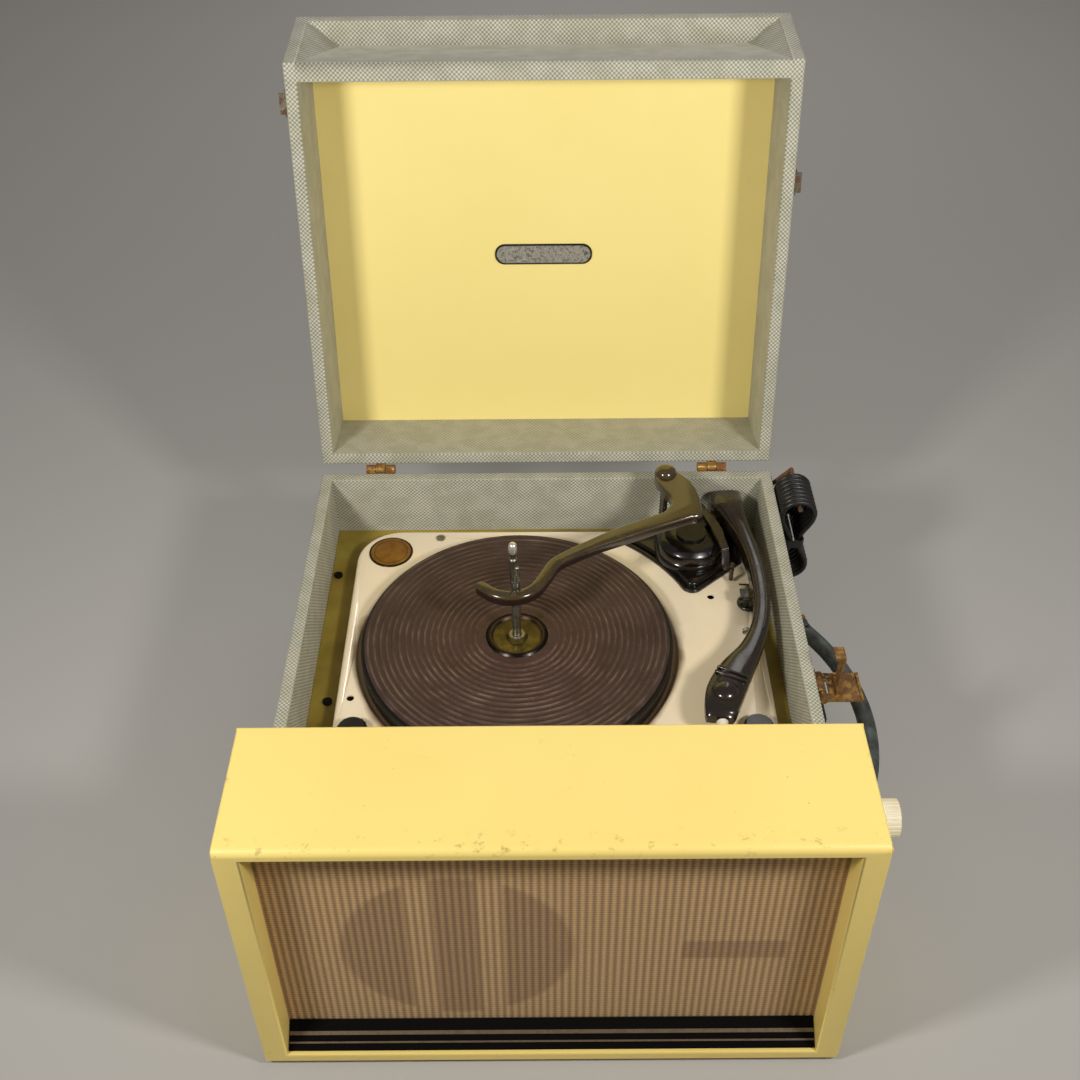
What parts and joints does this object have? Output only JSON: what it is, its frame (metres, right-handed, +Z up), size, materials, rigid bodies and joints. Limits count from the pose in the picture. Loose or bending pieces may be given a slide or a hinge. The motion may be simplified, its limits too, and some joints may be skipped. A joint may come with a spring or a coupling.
{
  "type": "record player",
  "caption": "Portable cloth-covered record player with a lift-up lid, an autochanger deck and a taller yellow housing in front for the loudspeaker.",
  "frame": {"origin": "middle of the case footprint, on the plane that the feet stand on", "axes": "+Z up, +Y from the grille towards the lid hinges, +X towards the carry handle"},
  "size_m": [0.4657, 0.6297, 0.5016],
  "materials": {
    "case_cloth": "woven",
    "yellow_covering": "satin",
    "plywood": "bare",
    "foot_rubber": "matte",
    "grille_fabric": "woven",
    "plinth_black": "gloss",
    "bronze_line": "satin",
    "speaker_steel": "satin",
    "speaker_paper": "matte",
    "chassis_steel": "dull",
    "valve_glass": "clear",
    "pot_steel": "dull",
    "cream_knob": "gloss",
    "olive_covering": "covered",
    "cream_enamel": "gloss",
    "spring_steel": "satin",
    "plated_screw": "worn",
    "badge_brass": "satin",
    "motor_grey": "satin",
    "pulley_brass": "polished",
    "zinc_steel": "dull",
    "idler_rubber": "matte",
    "cast_zinc": "cast",
    "bearing_bronze": "dull",
    "spindle_steel": "worn",
    "turntable_olive": "satin",
    "mat_rubber": "ribbed",
    "hub_brass": "worn",
    "brown_bakelite": "gloss",
    "post_steel": "worn",
    "olive_bakelite": "gloss",
    "dark_steel": "satin",
    "cream_plastic": "gloss",
    "black_plastic": "gloss",
    "hinge_brass": "worn",
    "yellow_lining": "papered",
    "plate_chrome": "worn",
    "catch_steel": "rusted",
    "grip_plastic": "worn",
    "hook_steel": "rusted",
    "cord_rubber": "satin"
  },
  "bodies": {
    "case": {"case_carcass": "case_cloth", "front_housing": "yellow_covering", "base_board": "plywood", "rubber_feet": "foot_rubber", "board_battens": "plywood", "baffle_board": "plywood", "grille_cloth": "grille_fabric", "plinth_strip": "plinth_black", "plinth_trim": "bronze_line", "speaker_basket": "speaker_steel", "speaker_cone": "speaker_paper", "amplifier_chassis": "chassis_steel", "amplifier_valves": "valve_glass", "volume_control": "pot_steel", "motor_board": "olive_covering", "unit_plate": "cream_enamel", "suspension_springs": "spring_steel", "deck_screws": "plated_screw", "badge_disc": "badge_brass", "drive_motor": "motor_grey", "idler_bracket": "zinc_steel", "main_bearing": "bearing_bronze", "centre_spindle": "spindle_steel", "arm_housing": "brown_bakelite", "arm_rest": "black_plastic", "case_hinges": "hinge_brass", "side_plates": "catch_steel", "cord_hook": "hook_steel", "cord_relief": "cord_rubber", "mains_cord_lead": "cord_rubber", "mains_cord_hank": "cord_rubber", "hank_tie": "cord_rubber", "mains_cord_tail": "cord_rubber", "mains_plug": "cord_rubber"},
    "lid": {"lid_hinge_leaves": "hinge_brass", "lid_shell": "case_cloth", "lid_liner": "yellow_lining", "lid_gussets": "case_cloth", "lid_plate": "plate_chrome", "lid_keepers": "hinge_brass"},
    "turntable": {"platter": "turntable_olive", "platter_mat": "mat_rubber", "hub_plate": "hub_brass"},
    "idler": {"idler_wheel": "idler_rubber"},
    "motor_spindle": {"motor_rotor": "pulley_brass"},
    "cam": {"cam_gear": "cast_zinc"},
    "arm_column": {"arm_bracket": "dark_steel", "sensing_lever": "brown_bakelite"},
    "pickup_arm": {"tonearm": "brown_bakelite"},
    "pickup": {"turnover_cartridge": "cream_plastic"},
    "column": {"steady_post": "post_steel"},
    "overarm": {"steady_arm": "olive_bakelite"},
    "speed": {"speed_knob": "black_plastic"},
    "control": {"control_knob": "black_plastic"},
    "volume": {"volume_knob": "cream_knob"},
    "handle": {"handle_grip": "grip_plastic"},
    "right_lever": {"catch_lever_right": "catch_steel"},
    "right_claw": {"catch_claw_right": "catch_steel"},
    "left_lever": {"catch_lever_left": "catch_steel"},
    "left_claw": {"catch_claw_left": "catch_steel"}
  },
  "joints": [
    {"name": "lid_hinge", "type": "hinge", "parent": "case", "child": "lid", "pos_m": [0, 0.2355, 0.1573], "axis": [1, 0, 0], "range_deg": [0, 101.65]},
    {"name": "turntable_spin", "type": "hinge", "parent": "case", "child": "turntable", "pos_m": [-0.025, 0.0595, 0.121], "axis": [0, 0, -1], "continuous": true},
    {"name": "idler_spin", "type": "hinge", "parent": "case", "child": "idler", "pos_m": [-0.11836, 0.09348, 0.114], "axis": [0, 0, -1], "continuous": true},
    {"name": "motor_spin", "type": "hinge", "parent": "case", "child": "motor_spindle", "pos_m": [-0.10481, 0.07002, 0.1], "axis": [0, 0, -1], "continuous": true},
    {"name": "cam_spin", "type": "hinge", "parent": "case", "child": "cam", "pos_m": [0.045, 0.0795, 0.094], "axis": [0, 0, -1], "continuous": true},
    {"name": "arm_swing", "type": "hinge", "parent": "case", "child": "arm_column", "pos_m": [0.1256, 0.172, 0.134], "axis": [0, 0, 1], "range_deg": [-36.5, 0]},
    {"name": "arm_lift", "type": "hinge", "parent": "arm_column", "child": "pickup_arm", "pos_m": [0.1256, 0.205, 0.14], "axis": [-1, 0, 0], "range_deg": [0, 10]},
    {"name": "pickup_turn", "type": "hinge", "parent": "pickup_arm", "child": "pickup", "pos_m": [0.13, -0.031, 0.1311], "axis": [0, -1, 0], "range_deg": [0, 180]},
    {"name": "column_lift", "type": "slide", "parent": "case", "child": "column", "axis": [0, 0, 1], "range_m": [0, 0.035]},
    {"name": "overarm_swing", "type": "hinge", "parent": "column", "child": "overarm", "pos_m": [0.103, 0.199, 0.175], "axis": [0, 0, 1], "range_deg": [0, 60]},
    {"name": "speed_turn", "type": "hinge", "parent": "case", "child": "speed", "pos_m": [-0.15, -0.0315, 0.116], "axis": [0, 0, -1], "range_deg": [0, 90]},
    {"name": "control_turn", "type": "hinge", "parent": "case", "child": "control", "pos_m": [0.16, -0.0315, 0.116], "axis": [0, 0, -1], "range_deg": [-30, 30]},
    {"name": "volume_turn", "type": "hinge", "parent": "case", "child": "volume", "pos_m": [0.2, -0.1855, 0.21], "axis": [-1, 0, 0], "range_deg": [0, 300]},
    {"name": "handle_swing", "type": "hinge", "parent": "case", "child": "handle", "pos_m": [0.209, -0.0295, 0.117], "axis": [0, 1, 0], "range_deg": [-25, 85]},
    {"name": "right_lever_fold", "type": "hinge", "parent": "case", "child": "right_lever", "pos_m": [0.206, -0.0165, 0.143], "axis": [0, 1, 0], "range_deg": [0, 85]},
    {"name": "right_claw_turn", "type": "hinge", "parent": "right_lever", "child": "right_claw", "pos_m": [0.218, -0.0165, 0.147], "axis": [0, 1, 0], "range_deg": [-85, 0]},
    {"name": "left_lever_open", "type": "hinge", "parent": "case", "child": "left_lever", "pos_m": [-0.206, -0.0805, 0.143], "axis": [0, -1, 0], "range_deg": [-85, 0]},
    {"name": "left_claw_turn", "type": "hinge", "parent": "left_lever", "child": "left_claw", "pos_m": [-0.21042, -0.0805, 0.13115], "axis": [0, 1, 0], "range_deg": [0, 178]}
  ],
  "couplings": [
    {"joint": "idler_spin", "follows": "turntable_spin", "ratio": 5.1458},
    {"joint": "motor_spin", "follows": "turntable_spin", "ratio": -42},
    {"joint": "right_claw_turn", "follows": "right_lever_fold", "ratio": -1}
  ]
}
